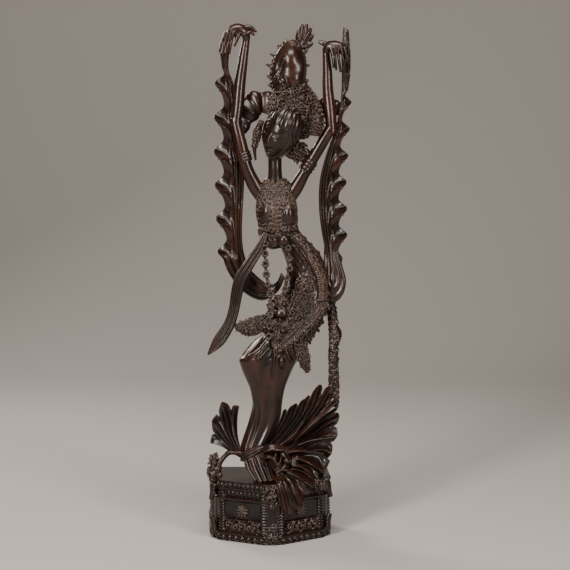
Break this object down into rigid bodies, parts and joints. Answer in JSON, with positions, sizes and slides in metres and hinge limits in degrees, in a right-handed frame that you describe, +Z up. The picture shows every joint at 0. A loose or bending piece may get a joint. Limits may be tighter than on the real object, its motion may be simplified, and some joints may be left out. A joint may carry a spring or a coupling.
{
  "type": "carved wooden dancer statue",
  "caption": "Slender temple dancer with raised arms, high crown, ruffled scarves and spreading train, carved in dark hardwood on a half-hexagon plinth.",
  "frame": {"origin": "middle of the plinth's underside, on the floor, halfway between the foremost corner post and the flat back", "axes": "+Z up along the figure; the figure faces -Y; +X is the viewer's right"},
  "size_m": [0.2865, 0.1718, 0.9985],
  "materials": {
    "ebony": "dark ebony with red-brown streaks, polished; the openwork ornament is duller and dusty"
  },
  "bodies": {
    "root": {"dancer_statue": "ebony"}
  },
  "joints": []
}
